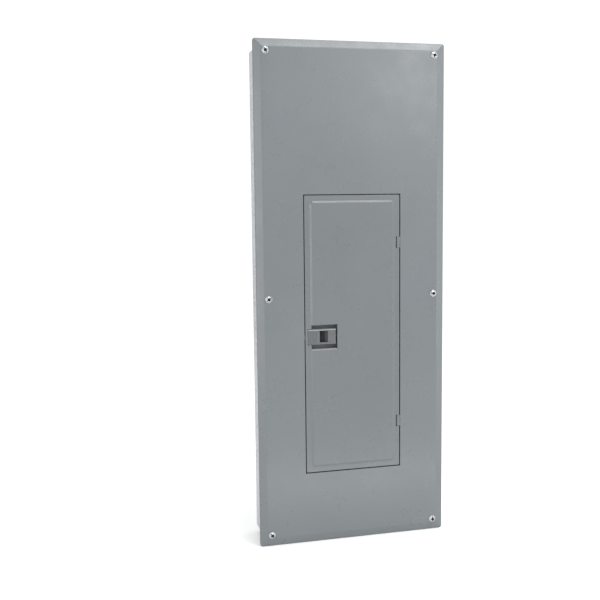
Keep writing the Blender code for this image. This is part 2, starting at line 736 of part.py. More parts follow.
def main():
    build_box()
    build_pan()
    build_bus()
    build_neutral()
    build_ground()
    build_main()
    build_handle("main_breaker_handle", MAIN_PIVOT, "X", -HANDLE_TILT, 8.6, 13.4, 22.8, 9.0)
    two_middle = build_branch("2p", 1, (1, 2))
    one_middle = build_branch("1p", -1, (1,))
    cover_parts = build_cover()
    windows = [
        ((-30.8, 30.8), (-85.0, -75.0), (104.2, 158.8)),
        ((19.3, 62.7), (-85.0, -75.0), (two_middle - 19.5, two_middle + 19.5)),
        ((-62.7, -19.3), (-85.0, -75.0), (one_middle - 10.0, one_middle + 10.0)),
    ]
    cover_parts += build_dead_front(windows)
    door_parts = build_door()
    housing, slider, spring = build_latch()
    trim_root = empty_at("cover_lift_axis", (0.0, COVER_FACE_Y, 0.0))
    door_root = empty_at("door_hinge_axis", (HINGE_X, HINGE_Y, -76.0))
    latch_root = empty_at("latch_slide_axis", (-60.0, -95.0, LATCH_Z))
    attach(trim_root, cover_parts)
    attach(door_root, door_parts + [housing, spring])
    attach(latch_root, [slider])
    attach(door_root, [latch_root])
    attach(trim_root, [door_root])


clear_scene()
PARTS = make_collection("residential_load_center", False)
CUTTERS = make_collection("cutters", True)
COVER_PAINT = material("cover_paint", (0.27, 0.285, 0.29), 0.45)
DOOR_PAINT = material("door_paint", (0.26, 0.275, 0.28), 0.45)
GALVANISED = material("galvanised_steel", (0.56, 0.58, 0.59), 0.38, 0.8)
ZINC = material("zinc_plate", (0.70, 0.70, 0.68), 0.3, 1.0)
ALUMINIUM = material("tinned_aluminium", (0.66, 0.67, 0.68), 0.35, 1.0)
COPPER = material("tinned_copper", (0.72, 0.48, 0.34), 0.32, 1.0)
BLACK_PLASTIC = material("black_plastic", (0.022, 0.022, 0.024), 0.5)
HANDLE_PLASTIC = material("handle_plastic", (0.03, 0.03, 0.033), 0.4)
LATCH_PLASTIC = material("latch_plastic", (0.2, 0.21, 0.215), 0.45)
GREEN_SCREW = material("green_screw", (0.05, 0.3, 0.1), 0.4, 0.6)
CARD = material("directory_card", (0.82, 0.81, 0.76), 0.8)
main()
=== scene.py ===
import math

import bmesh
import bpy
from mathutils import Matrix, Vector


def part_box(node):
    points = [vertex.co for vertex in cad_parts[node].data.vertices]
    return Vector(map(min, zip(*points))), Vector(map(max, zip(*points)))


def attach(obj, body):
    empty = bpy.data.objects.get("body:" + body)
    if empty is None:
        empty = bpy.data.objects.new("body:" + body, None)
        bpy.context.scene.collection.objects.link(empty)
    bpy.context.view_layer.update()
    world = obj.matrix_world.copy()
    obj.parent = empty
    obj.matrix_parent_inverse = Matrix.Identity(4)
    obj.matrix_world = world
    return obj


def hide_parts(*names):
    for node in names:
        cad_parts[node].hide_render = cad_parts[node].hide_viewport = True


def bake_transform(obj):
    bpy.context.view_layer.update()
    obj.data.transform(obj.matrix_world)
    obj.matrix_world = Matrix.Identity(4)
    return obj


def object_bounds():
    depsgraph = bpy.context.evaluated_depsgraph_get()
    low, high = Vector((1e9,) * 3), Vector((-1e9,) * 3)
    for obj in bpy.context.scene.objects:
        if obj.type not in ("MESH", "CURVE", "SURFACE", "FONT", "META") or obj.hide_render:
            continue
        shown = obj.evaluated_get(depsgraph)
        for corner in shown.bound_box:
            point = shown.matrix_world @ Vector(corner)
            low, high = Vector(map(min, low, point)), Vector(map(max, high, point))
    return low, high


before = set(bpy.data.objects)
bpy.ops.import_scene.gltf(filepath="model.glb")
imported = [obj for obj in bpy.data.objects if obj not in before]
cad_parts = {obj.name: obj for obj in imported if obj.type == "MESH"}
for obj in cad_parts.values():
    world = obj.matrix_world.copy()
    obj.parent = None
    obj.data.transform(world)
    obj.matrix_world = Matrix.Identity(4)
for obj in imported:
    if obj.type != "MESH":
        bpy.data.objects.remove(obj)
CAD_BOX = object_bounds()
MM = 0.001


def box_mm(name):
    """A CAD node's lowest and highest corners, in millimetres."""
    low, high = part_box(name)
    return Vector(low) / MM, Vector(high) / MM


COVER_LOW, COVER_HIGH = box_mm("cover_trim")
DOOR_LOW, DOOR_HIGH = box_mm("door")
BOX_LOW, BOX_HIGH = box_mm("enclosure_box")
SLIDER_LOW, SLIDER_HIGH = box_mm("latch_slider")
WELL_LOW, WELL_HIGH = box_mm("latch_housing")
PIN_LOW, PIN_HIGH = box_mm("hinge_pin_1")
CARD_LOW, CARD_HIGH = box_mm("directory_card")
FACE_Y = COVER_LOW[1]
LATCH_Z = (SLIDER_LOW[2] + SLIDER_HIGH[2]) / 2
HINGE_X = (PIN_LOW[0] + PIN_HIGH[0]) / 2
HINGE_Y = (PIN_LOW[1] + PIN_HIGH[1]) / 2

# Millimetres, in the frame's axes.
SHEET = 1.2  # the trim's and the door's steel
GAP = 1.8  # round the door
RAISE = 2.0  # the door's panel stands this far out of its border
BORE = 1.4  # radius of the holes for the hinge pins
LEAF_HALF = 10.9  # half the height of a hinge leaf on the trim
LIP_LEFT = -85.8  # the latch opening in the door
LIP_X = (-34.2, -32.6)
LIP_Z = (-104.2, -53.2)
WELL_HOLE_HALF = 16.2  # half the height of the opening beside the lip
GRIP_HALF = 11.4  # half the height of the finger hole
RIB_COUNT, RIB_STEP, RIB_HALF = 6, 3.1, 0.75  # grip ribs beside the finger hole
PITCH = 19.05  # from one breaker row to the next
ROWS = 20
FIRST_ROW = 40.5  # height of row 1
FLOOR_Y = -80.7  # front of the dead front's floor
CASE_Y = -82.5  # front of a breaker's case
FILLER_X = (20.5, 61.5)  # a twist-out's two ends, measured out from the middle
NUMBER_X = 73.0  # row numbers, measured out from the middle
TERMINAL_RADIUS = 3.0
WIRE_HOLE_RADIUS = 2.3
WIRE_HOLE_STEP = 12.0
SUNK = -0.4  # how deep an added detail starts inside the solid it sits on
PROUD = 0.06  # how far a disc or ring of painted shade, standing for a hole or a cut, stands out of its wall
FIGURE_DEPTH = 0.12
CORNER_STEPS = 6  # in a quarter turn of a rounded corner

# (inset from the outline, depth behind the face, corner radius) from the rim to the middle
TRIM_STEPS = (
    (0.0, 7.8, 5.0), (0.0, 5.9, 5.0), (0.25, 5.3, 4.8), (0.9, 4.85, 4.5),
    (13.6, 0.62, 3.4), (14.8, 0.28, 3.2), (16.0, 0.07, 3.0), (17.4, 0.0, 3.0),
)
DOOR_STEPS = (
    (0.0, 7.0, 1.5), (0.0, 0.9, 1.5), (0.3, 0.25, 1.6), (1.0, 0.0, 1.8), (10.3, 0.0, 6.5),
    (10.5, -0.04, 6.4), (10.9, -0.20, 6.3), (14.2, -1.80, 5.4), (14.6, -1.95, 5.2),
    (15.1, -2.0, 5.0),
)

# The camera: lens and sensor in millimetres, angles in degrees and its place in metres.
LENS = 54.64
SENSOR = 36.0
YAW, PITCH_DOWN, ROLL = 14.687, 6.205, -0.643
EYE = (-0.5552, FACE_Y * MM - 1.7057, 0.1887)

NOISE_ROUGHNESS = 0.55
PAINT_ROUGHNESS = 0.29
PAINT_PEEL = 0.02

# The floor, in metres, and the strength of the world.
FLOOR_HALF = 6.0
FLOOR_DROP = 0.0005  # below the box, so that the two don't share a plane
WORLD = 1.07

# name, place and target in metres, (width, height) in metres, watts
LIGHTS = (
    ("strip", (1.12, -2.4, 1.0), (0.0, 0.0, 0.25), (0.5, 1.1), 9.5),
    ("key", (1.2, -0.8, 1.5), (0.0, 0.0, 0.35), (0.7, 0.7), 3.5),
    ("top", (-0.1, -0.3, 2.6), (0.0, -0.1, 0.0), (1.6, 0.4), 11.0),
    ("slope", (0.60, -1.32, 1.75), (0.0, -0.1, 0.19), (1.4, 0.25), 14.0),
    ("side", (-1.30, -2.05, 0.0), (0.0, -0.1, -0.05), (0.3, 1.6), 11.0),
    ("right", (1.75, -1.3, 0.2), (0.1, -0.1, 0.2), (0.35, 1.4), 6.5),
    ("low", (0.05, -0.42, -0.47), (0.05, -0.1, -0.47), (0.7, 0.05), 0.22),
)


# ---------------------------------------------------------------- node helpers


def tree_of(name):
    made = bpy.data.materials.new(name)
    made.use_nodes = True
    tree = made.node_tree
    return made, tree, tree.nodes["Principled BSDF"]


def node(tree, kind, **values):
    made = tree.nodes.new(kind)
    for key, value in values.items():
        setattr(made, key, value)
    return made


def object_coords(tree, stretch=(1.0, 1.0, 1.0)):
    coords = node(tree, "ShaderNodeTexCoord")
    mapping = node(tree, "ShaderNodeMapping")
    mapping.inputs["Scale"].default_value = stretch
    tree.links.new(coords.outputs["Object"], mapping.inputs["Vector"])
    return mapping.outputs["Vector"]


def noise(tree, vector, scale, detail):
    made = node(tree, "ShaderNodeTexNoise")
    made.inputs["Scale"].default_value = scale
    made.inputs["Detail"].default_value = detail
    made.inputs["Roughness"].default_value = NOISE_ROUGHNESS
    tree.links.new(vector, made.inputs["Vector"])
    return made.outputs["Fac"]


def ramp(tree, value, stops):
    """A colour ramp from (place, colour or grey) pairs."""
    made = node(tree, "ShaderNodeValToRGB")
    elements = made.color_ramp.elements
    while len(elements) < len(stops):
        elements.new(0.5)
    for element, (place, colour) in zip(elements, stops):
        element.position = place
        if not hasattr(colour, "__len__"):
            colour = (colour, colour, colour)
        element.color = (*colour, 1.0)
    tree.links.new(value, made.inputs["Fac"])
    return made.outputs["Color"]


def mix(tree, factor, first, second, mode="MIX"):
    made = node(tree, "ShaderNodeMix", data_type="RGBA", blend_type=mode)
    for socket, value in (("Factor", factor), ("A", first), ("B", second)):
        kind = "VALUE" if socket == "Factor" else "RGBA"
        socket_in = [item for item in made.inputs if item.name == socket and item.type == kind][0]
        if hasattr(value, "links"):
            tree.links.new(value, socket_in)
        elif hasattr(value, "__len__"):
            socket_in.default_value = (*value, 1.0)
        else:
            socket_in.default_value = value
    return [item for item in made.outputs if item.type == "RGBA"][0]


def scaled(colour, factor):
    return tuple(min(1.0, channel * factor) for channel in colour)


def bump(tree, shader, height, strength, distance):
    made = node(tree, "ShaderNodeBump")
    made.inputs["Strength"].default_value = strength
    made.inputs["Distance"].default_value = distance
    tree.links.new(height, made.inputs["Height"])
    tree.links.new(made.outputs["Normal"], shader.inputs["Normal"])


def edge_mask(tree, radius):
    """White near edges, from the difference between a bevelled and a flat normal."""
    bevel = node(tree, "ShaderNodeBevel", samples=4)
    bevel.inputs["Radius"].default_value = radius
    geometry = node(tree, "ShaderNodeNewGeometry")
    dot = node(tree, "ShaderNodeVectorMath", operation="DOT_PRODUCT")
    tree.links.new(bevel.outputs["Normal"], dot.inputs[0])
    tree.links.new(geometry.outputs["Normal"], dot.inputs[1])
    return ramp(tree, dot.outputs["Value"], ((0.90, 1.0), (0.995, 0.0)))


# ---------------------------------------------------------------- materials


def paint(name, base):
    """Powder coat on steel: fine orange peel, slow tone drift and slightly rubbed edges."""
    made, tree, shader = tree_of(name)
    where = object_coords(tree)
    tone = ramp(tree, noise(tree, where, 5.0, 2.0),
                ((0.3, scaled(base, 0.97)), (0.7, scaled(base, 1.04))))
    speck = ramp(tree, noise(tree, where, 900.0, 2.0), ((0.45, 0.0), (0.75, 0.08)))
    tone = mix(tree, speck, tone, scaled(base, 1.3))
    chips = ramp(tree, noise(tree, where, 140.0, 4.0), ((0.45, 0.0), (0.62, 0.35)))
    worn = mix(tree, 1.0, edge_mask(tree, 0.0006), chips, "MULTIPLY")
    tone = mix(tree, worn, tone, scaled(base, 1.6))
    tree.links.new(tone, shader.inputs["Base Color"])
    rough = ramp(tree, noise(tree, where, 24.0, 4.0),
                 ((0.3, PAINT_ROUGHNESS - 0.04), (0.7, PAINT_ROUGHNESS + 0.05)))
    tree.links.new(rough, shader.inputs["Roughness"])
    bump(tree, shader, noise(tree, where, 620.0, 3.0), PAINT_PEEL, 0.00025)
    return made


def galvanised(name):
    """Hot-dip galvanised sheet: crystal spangle, mill streaks and a cloudy bloom."""
    made, tree, shader = tree_of(name)
    where = object_coords(tree)
    swirl = node(tree, "ShaderNodeTexNoise")
    swirl.inputs["Scale"].default_value = 60.0
    tree.links.new(where, swirl.inputs["Vector"])
    shrink = node(tree, "ShaderNodeVectorMath", operation="SCALE")
    shrink.inputs["Scale"].default_value = 0.012
    tree.links.new(swirl.outputs["Color"], shrink.inputs[0])
    wobble = node(tree, "ShaderNodeVectorMath", operation="ADD")
    tree.links.new(where, wobble.inputs[0])
    tree.links.new(shrink.outputs["Vector"], wobble.inputs[1])
    cells = node(tree, "ShaderNodeTexVoronoi", feature="F1")
    cells.inputs["Scale"].default_value = 190.0
    tree.links.new(wobble.outputs["Vector"], cells.inputs["Vector"])
    split = node(tree, "ShaderNodeSeparateColor")
    tree.links.new(cells.outputs["Color"], split.inputs["Color"])
    greys = ((0.0, (0.32, 0.34, 0.36)), (0.5, (0.38, 0.40, 0.42)), (1.0, (0.46, 0.48, 0.50)))
    spangle = ramp(tree, split.outputs["Red"], greys)
    bloom = ramp(tree, noise(tree, where, 9.0, 5.0), ((0.35, 0.0), (0.75, 0.35)))
    tree.links.new(mix(tree, bloom, spangle, (0.60, 0.62, 0.63)), shader.inputs["Base Color"])
    shader.inputs["Metallic"].default_value = 0.75
    rough = ramp(tree, split.outputs["Green"], ((0.0, 0.32), (1.0, 0.50)))
    tree.links.new(rough, shader.inputs["Roughness"])
    streaks = noise(tree, object_coords(tree, (900.0, 900.0, 25.0)), 1.0, 3.0)
    bump(tree, shader, streaks, 0.08, 0.0002)
    return made


def plated(name, base, roughness, metallic=1.0):
    """Plated or bare metal: fine drawn grain, slight stain, and a painted highlight along the
    edges.
    """
    made, tree, shader = tree_of(name)
    where = object_coords(tree)
    stain = ramp(tree, noise(tree, where, 70.0, 5.0), ((0.3, scaled(base, 0.82)), (0.65, base)))
    # Painted highlight: edges lighter than the rest of the metal.
    edge = mix(tree, 1.0, edge_mask(tree, 0.0004), (0.5, 0.5, 0.5), "MULTIPLY")
    tree.links.new(mix(tree, edge, stain, scaled(base, 1.2)), shader.inputs["Base Color"])
    shader.inputs["Metallic"].default_value = metallic
    rough = ramp(tree, noise(tree, where, 260.0, 4.0),
                 ((0.3, roughness - 0.06), (0.7, roughness + 0.10)))
    tree.links.new(rough, shader.inputs["Roughness"])
    streaks = noise(tree, object_coords(tree, (1500.0, 1500.0, 60.0)), 1.0, 3.0)
    bump(tree, shader, streaks, 0.12, 0.0002)
    return made


def moulded(name, base, roughness=0.5, gloss=0.5):
    """Moulded plastic: spark-eroded grain, faint flow marks and rubbed corners."""
    made, tree, shader = tree_of(name)
    where = object_coords(tree)
    tone = ramp(tree, noise(tree, where, 30.0, 4.0),
                ((0.3, scaled(base, 0.85)), (0.7, scaled(base, 1.15))))
    edge = mix(tree, 1.0, edge_mask(tree, 0.0005), (0.25, 0.25, 0.25), "MULTIPLY")
    rubbed = tuple(min(1.0, channel * 2.2 + 0.03) for channel in base)
    shader.inputs["Specular IOR Level"].default_value = gloss
    tree.links.new(mix(tree, edge, tone, rubbed), shader.inputs["Base Color"])
    rough = ramp(tree, noise(tree, where, 400.0, 3.0),
                 ((0.3, roughness - 0.07), (0.7, roughness + 0.08)))
    tree.links.new(rough, shader.inputs["Roughness"])
    bump(tree, shader, noise(tree, where, 1600.0, 2.0), 0.10, 0.0002)
    return made


def paper(name, base):
    """Card: short fibres and a matt, uneven surface."""
    made, tree, shader = tree_of(name)
    where = object_coords(tree)
    fibres = noise(tree, object_coords(tree, (700.0, 700.0, 240.0)), 1.0, 5.0)
    tone = ramp(tree, fibres, ((0.3, scaled(base, 0.94)), (0.7, base)))
    tree.links.new(tone, shader.inputs["Base Color"])
    rough = ramp(tree, noise(tree, where, 90.0, 3.0), ((0.3, 0.74), (0.7, 0.88)))
    tree.links.new(rough, shader.inputs["Roughness"])
    bump(tree, shader, fibres, 0.1, 0.0001)
    return made


PAINT = paint("grey_powder_coat", (0.123, 0.136, 0.144))
DOOR_PAINT = paint("grey_powder_coat_door", (0.116, 0.128, 0.136))
GALVANISED = galvanised("galvanised_sheet")
ZINC = plated("zinc_plating", (0.66, 0.67, 0.69), 0.22)
SCREW = plated("screw_plating", (0.50, 0.51, 0.54), 0.20)
GREEN = plated("green_zinc", (0.06, 0.34, 0.13), 0.34, 0.7)
TIN = plated("tinned_aluminium_bar", (0.70, 0.71, 0.72), 0.34)
COPPER = plated("copper_alloy", (0.80, 0.52, 0.36), 0.30)
# Black phenolic for the breakers and the main, and also painted shade inside the latch's finger
# hole.
BLACK_AND_PAINTED_SHADE = moulded("black_phenolic_and_painted_shade", (0.022, 0.022, 0.024), 0.50)
HANDLE = moulded("black_handle", (0.030, 0.030, 0.034), 0.38)
LATCH = moulded("grey_nylon", (0.098, 0.105, 0.110), 0.36)
# A lighter grey that paints the highlight on the slider ledge's upward slope.
PAINTED_HIGHLIGHT = moulded("painted_highlight_grey", (0.230, 0.248, 0.258), 0.30)
# Dark grey for the latch housing, partly painted shade for its shadowed trench, and painted shade
# for the wire holes and knockout cuts.
DARK_AND_PAINTED_SHADE = moulded("dark_nylon_and_painted_shade", (0.090, 0.098, 0.102), 0.55)
# Near-black painted shade inside the screw recesses and the latch's finger hole.
PAINTED_SHADE = moulded("painted_shade_black", (0.018, 0.020, 0.022), 0.70, 0.15)
CARD = paper("card_stock", (0.80, 0.79, 0.74))
INK = moulded("card_ink", (0.05, 0.05, 0.055), 0.7)
WHITE = moulded("white_marking", (0.72, 0.72, 0.70), 0.6)

NODE_MATERIALS = {
    GALVANISED: ("enclosure_box", "interior_pan"),
    PAINT: ("cover_trim", "deadfront"),
    DOOR_PAINT: ("door",),
    GREEN: ("bonding_screw",),
    TIN: ("bus_bar_a", "bus_bar_b", "neutral_bar_left", "neutral_bar_right", "neutral_strap",
          "neutral_lug", "ground_bar", "main_lug_left", "main_lug_right"),
    COPPER: ("main_strap_a", "main_strap_b", "breaker_2p_jaw_a", "breaker_2p_jaw_b",
             "breaker_1p_jaw"),
    BLACK_AND_PAINTED_SHADE: ("bus_support", "neutral_support_left", "neutral_support_right",
            "main_breaker_base", "main_breaker_cover", "breaker_2p_case", "breaker_1p_case"),
    HANDLE: ("main_breaker_handle", "breaker_2p_handle", "breaker_1p_handle"),
    DARK_AND_PAINTED_SHADE: ("latch_housing",),
    LATCH: ("latch_slider",),
    CARD: ("directory_card",),
}


def finish_nodes():
    """Every CAD node gets its finish, and zinc plating where none is named."""
    chosen = {name: made for made, names in NODE_MATERIALS.items() for name in names}
    for name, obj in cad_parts.items():
        if not obj.data.materials:
            obj.data.materials.append(ZINC)
        for number in range(len(obj.data.materials)):
            obj.data.materials[number] = chosen.get(name, ZINC)


# ---------------------------------------------------------------- mesh helpers, in millimetres


def add_box(bm, x, y, z, bevel=0.0, segments=2):
    made = bmesh.ops.create_cube(bm, size=1.0)["verts"]
    for vert in made:
        vert.co = Vector([
            sum(span) / 2 + c * (span[1] - span[0]) for span, c in zip((x, y, z), vert.co)
        ])
    if bevel:
        edges = list({edge for vert in made for edge in vert.link_edges})
        bmesh.ops.bevel(
            bm, geom=edges, offset=bevel, segments=segments, profile=0.5, affect="EDGES",
            clamp_overlap=True,
        )


def add_turned(bm, profile, centre, out=(0.0, -1.0, 0.0), steps=24):
    """Spin (radius, height) pairs about an axis: height counts along out from the centre."""
    out = Vector(out)
    first = out.orthogonal().normalized()
    second = out.cross(first)
    rings = []
    for radius, height in profile:
        place = Vector(centre) + out * height
        count = steps if radius > 1e-6 else 1
        rings.append([
            bm.verts.new(place + radius * (math.cos(turn) * first + math.sin(turn) * second))
            for turn in (2 * math.pi * number / steps for number in range(count))
        ])
    for low, high in zip(rings, rings[1:]):
        for number in range(steps):
            corners = [low[number % len(low)], low[(number + 1) % len(low)],
                       high[(number + 1) % len(high)], high[number % len(high)]]
            corners = list(dict.fromkeys(corners))
            if len(corners) > 2:
                bm.faces.new(corners)


def close_prism(bm, ends):
    """Faces on two equal loops of points and between them."""
    for end in ends:
        bm.faces.new(end)
    count = len(ends[0])
    for number in range(count):
        after = (number + 1) % count
        bm.faces.new((ends[0][number], ends[0][after], ends[1][after], ends[1][number]))


def add_prism(bm, profile, span):
    """A bar along X with a profile of (y, z) points."""
    close_prism(bm, [[bm.verts.new((x, y, z)) for y, z in profile] for x in span])


def rounded(x, z, radius, y):
    """Points round a rectangle with rounded corners, facing the front."""
    points = []
    corners = ((x[1], z[1], -1, -1), (x[0], z[1], 1, -1), (x[0], z[0], 1, 1), (x[1], z[0], -1, 1))
    for quarter, (cx, cz, sx, sz) in enumerate(corners):
        for step in range(CORNER_STEPS + 1):
            turn = math.pi / 2 * (quarter + step / CORNER_STEPS)
            points.append((cx + radius * (sx + math.cos(turn)), y,
                           cz + radius * (sz + math.sin(turn))))
    return points


def pressed(low, high, steps):
    """Loops of points for a pressed sheet between two corners, one for each of the steps."""
    return [
        rounded((low[0] + by, high[0] - by), (low[2] + by, high[2] - by), radius, FACE_Y + back)
        for by, back, radius in steps
    ]


def add_skin(bm, rings, close=True):
    """Quads from ring to ring of equal counts, and a face on the last ring if it is closed."""
    rows = [[bm.verts.new(point) for point in ring] for ring in rings]
    for outer, inner in zip(rows, rows[1:]):
        count = len(outer)
        for number in range(count):
            after = (number + 1) % count
            bm.faces.new((outer[number], outer[after], inner[after], inner[number]))
    if close:
        bm.faces.new(rows[-1])


def placed(name, data):
    """A new object in the scene."""
    obj = bpy.data.objects.new(name, data)
    bpy.context.scene.collection.objects.link(obj)
    return obj


def evaluated(obj):
    """A mesh of what an object's modifiers or curve settings make of it."""
    graph = bpy.context.evaluated_depsgraph_get()
    return bpy.data.meshes.new_from_object(obj.evaluated_get(graph))


def add_text(bm, body, size, place, behind=False):
    """Raised figures that read from the front, or from behind."""
    curve = bpy.data.curves.new("figures", "FONT")
    curve.body = body
    curve.size = size
    curve.extrude = FIGURE_DEPTH / 2
    curve.resolution_u = 2
    curve.align_x = "CENTER"
    curve.align_y = "CENTER"
    guide = placed("figures", curve)
    mesh = evaluated(guide)
    turn = Matrix.Rotation(math.radians(90), 4, "X")
    if behind:
        turn = Matrix.Rotation(math.radians(180), 4, "Z") @ turn
    mesh.transform(Matrix.Translation(place) @ turn)
    bm.from_mesh(mesh)
    bpy.data.meshes.remove(mesh)
    bpy.data.objects.remove(guide)
    bpy.data.curves.remove(curve)


def new_mesh(name, bm):
    bmesh.ops.recalc_face_normals(bm, faces=bm.faces)
    bmesh.ops.scale(bm, vec=(MM, MM, MM), verts=bm.verts)
    mesh = bpy.data.meshes.new(name)
    bm.to_mesh(mesh)
    bm.free()
    return placed(name, mesh)


def bake(obj):
    """Swap an object's mesh for what its modifiers make of it."""
    bpy.context.view_layer.update()
    mesh = evaluated(obj)
    obj.modifiers.clear()
    obj.data = mesh


def carve(obj, bm, operation="DIFFERENCE"):
    """Cut or join with the shape in bm, which may touch itself."""
    tool = new_mesh("tool", bm)
    modifier = obj.modifiers.new("carve", "BOOLEAN")
    modifier.operation = operation
    modifier.solver = "EXACT"
    modifier.use_self = True
    modifier.object = tool
    bake(obj)
    bpy.data.objects.remove(tool)


def carve_box(obj, x, y, z, bevel=0.0, segments=2, operation="DIFFERENCE"):
    bm = bmesh.new()
    add_box(bm, x, y, z, bevel, segments)
    carve(obj, bm, operation)


def thicken(obj, thickness):
    """Turn an open skin to the front, then give it a thickness behind that."""
    if sum(part.normal.y * part.area for part in obj.data.polygons) > 0:
        obj.data.flip_normals()
    solidify = obj.modifiers.new("sheet", "SOLIDIFY")
    solidify.thickness = thickness * MM
    solidify.offset = -1.0
    solidify.use_even_offset = True
    bake(obj)


def add_bore(bm, z, low, high):
    """A pin hole's cutter on the hinge line, from low to high about z."""
    add_turned(bm, ((0.0, low), (BORE, low), (BORE, high), (0.0, high)),
               (HINGE_X, HINGE_Y, z), (0.0, 0.0, 1.0), 20)


def settle(obj, made, body, nodes=(), sharp=30.0, flat=False):
    """Give a piece its finish, its shading and its body, and the CAD nodes that it stands for."""
    obj.data.materials.clear()
    obj.data.materials.append(made)
    obj.data.shade_smooth()
    obj.data.set_sharp_from_angle(angle=math.radians(sharp))
    if flat:
        weighted = obj.modifiers.new("weighted", "WEIGHTED_NORMAL")
        weighted.keep_sharp = True
        weighted.weight = 90
    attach(obj, body)
    if nodes:
        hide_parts(*nodes)


def piece(name, bm, made, body):
    settle(new_mesh(name, bm), made, body)


def row_height(row):
    return FIRST_ROW - (row - 1) * PITCH


def pin_height(number):
    pin_low, pin_high = box_mm(f"hinge_pin_{number}")
    return (pin_low[2] + pin_high[2]) / 2


# ---------------------------------------------------------------- trim


def make_cover():
    """Pressed trim: return, soft outer bend, shallow slope, soft inner bend and a flat face."""
    rings = pressed(COVER_LOW, COVER_HIGH, TRIM_STEPS)
    x = (DOOR_LOW[0] - GAP, DOOR_HIGH[0] + GAP)
    z = (DOOR_LOW[2] - GAP, DOOR_HIGH[2] + GAP)
    rings.append(rounded(x, z, 0.8, FACE_Y))
    bm = bmesh.new()
    add_skin(bm, rings, close=False)
    obj = new_mesh("cover_sheet", bm)
    thicken(obj, SHEET)
    settle(obj, PAINT, "cover", ("cover_trim",), sharp=35.0, flat=True)


def make_hinge_leaves():
    """The trim's half of each hinge: a leaf with a knuckle round the pin."""
    for number in (1, 2):
        z = pin_height(number)
        span = (z - LEAF_HALF, z + LEAF_HALF)
        bm = bmesh.new()
        add_box(bm, (HINGE_X - 0.2, HINGE_X + 8.5), (HINGE_Y - 2.4, HINGE_Y - 1.2), span, 0.25)
        leaf = new_mesh(f"cover_hinge_leaf_{number}", bm)
        bm = bmesh.new()
        profile = ((0.0, 0.0), (2.1, 0.0), (2.4, 0.3), (2.4, 21.5), (2.1, 21.8), (0.0, 21.8))
        add_turned(bm, profile, (HINGE_X, HINGE_Y, span[0]), (0.0, 0.0, 1.0), 28)
        carve(leaf, bm, "UNION")
        bm = bmesh.new()
        add_bore(bm, span[0], -1.0, 24.0)
        carve(leaf, bm)
        settle(leaf, PAINT, "cover")


def make_studs():
    """Grooved studs behind the trim, which the dead front's nuts run on."""
    bm = bmesh.new()
    for number in range(1, 5):
        nut_low, nut_high = box_mm(f"deadfront_nut_{number}")
        centre = (nut_low + nut_high) / 2
        profile = [(0.0, -5.9), (1.5, -5.9)]
        for turn in range(7):
            profile += [(2.0, -5.6 + turn * 0.8), (1.7, -5.2 + turn * 0.8)]
        profile += [(2.0, 0.0), (2.6, 0.5), (0.0, 0.5)]
        add_turned(bm, profile, (centre[0], FACE_Y + SHEET, centre[2]), steps=16)
    piece("cover_studs", bm, ZINC, "cover")


def make_cover_screws():
    """Plated washer-head screws: domed head, deep combination recess and a threaded shank."""
    for number in range(1, 7):
        low, high = box_mm(f"cover_screw_{number}")
        x = (low[0] + high[0]) / 2
        z = (low[2] + high[2]) / 2
        base = FACE_Y - 0.3
        profile = [(0.0, -14.0), (1.2, -14.0)]
        for turn in range(14):
            profile += [(2.1, -13.2 + turn * 0.9), (1.6, -12.75 + turn * 0.9)]
        profile += [
            (2.1, 0.0), (6.5, 0.0), (6.7, 0.2), (6.7, 0.65), (6.4, 0.9), (5.9, 1.0), (5.6, 1.35),
            (5.3, 1.9), (4.7, 2.5), (4.1, 2.95), (3.5, 3.2), (3.1, 3.2), (2.8, 2.7), (2.5, 0.9),
            (0.0, 0.5),
        ]
        bm = bmesh.new()
        add_turned(bm, profile, (x, base, z), steps=36)
        screw = new_mesh(f"cover_screw_detail_{number}", bm)
        turn = Matrix.Rotation(math.radians(25 + 40 * number), 3, "Y")
        for slot in (
            ((-5.4, 5.4), (-4.0, -1.3), (-0.75, 0.75)), ((-0.8, 0.8), (-4.0, -1.0), (-3.6, 3.6)),
        ):
            bm = bmesh.new()
            add_box(bm, *slot)
            bmesh.ops.rotate(bm, verts=bm.verts, cent=(0, 0, 0), matrix=turn)
            bmesh.ops.translate(bm, verts=bm.verts, vec=(x, base, z))
            carve(screw, bm)
        settle(screw, SCREW, "cover", (f"cover_screw_{number}",))
        screw.data.materials.append(PAINTED_SHADE)
        # Painted shade inside the recess only: near-black faces where the recess lies in shadow.
        for part in screw.data.polygons:
            place = part.center / MM - Vector((x, base, z))
            if math.hypot(place.x, place.z) < 4.6 and -2.0 < place.y < -0.3:
                part.material_index = 1


# ---------------------------------------------------------------- door and latch


def make_door():
    """Raised-panel door: flange, soft bends, flat border, slope and a flat panel."""
    bm = bmesh.new()
    add_skin(bm, pressed(DOOR_LOW, DOOR_HIGH, DOOR_STEPS))
    door = new_mesh("door_sheet", bm)
    thicken(door, SHEET)
    deep = (-105.0, -85.0)  # right through the sheet
    cuts = [
        ((LIP_LEFT, LIP_X[1]), deep, LIP_Z),
        ((-93.2, -80.0), deep, (LATCH_Z - WELL_HOLE_HALF, LATCH_Z + WELL_HOLE_HALF)),
        ((-100.0, -95.5), (-97.2, -91.8), (LATCH_Z - 6.0, LATCH_Z + 6.0)),
    ]
    for number in (1, 2):
        z = pin_height(number)
        cuts.append(((HINGE_X - 4.4, HINGE_X + 6.0), deep, (z - 11.5, z + 11.5)))
    bm = bmesh.new()
    for cut in cuts:
        add_box(bm, *cut)
    carve(door, bm)
    settle(door, DOOR_PAINT, "door", ("door",), sharp=35.0, flat=True)


def make_door_ears():
    """The door's half of each hinge: an ear above the trim's knuckle and one below it."""
    heights = [pin_height(number) for number in (1, 2)]
    bm = bmesh.new()
    for z in heights:
        for middle in (z + 13.25, z - 13.25):
            add_box(bm, (90.2, 97.2), (-97.3, -91.8), (middle - 1.7, middle + 1.7), 0.3)
    ears = new_mesh("door_hinge_ears", bm)
    bm = bmesh.new()
    for z in heights:
        add_bore(bm, z, -30.0, 30.0)
    carve(ears, bm)
    settle(ears, DOOR_PAINT, "door")


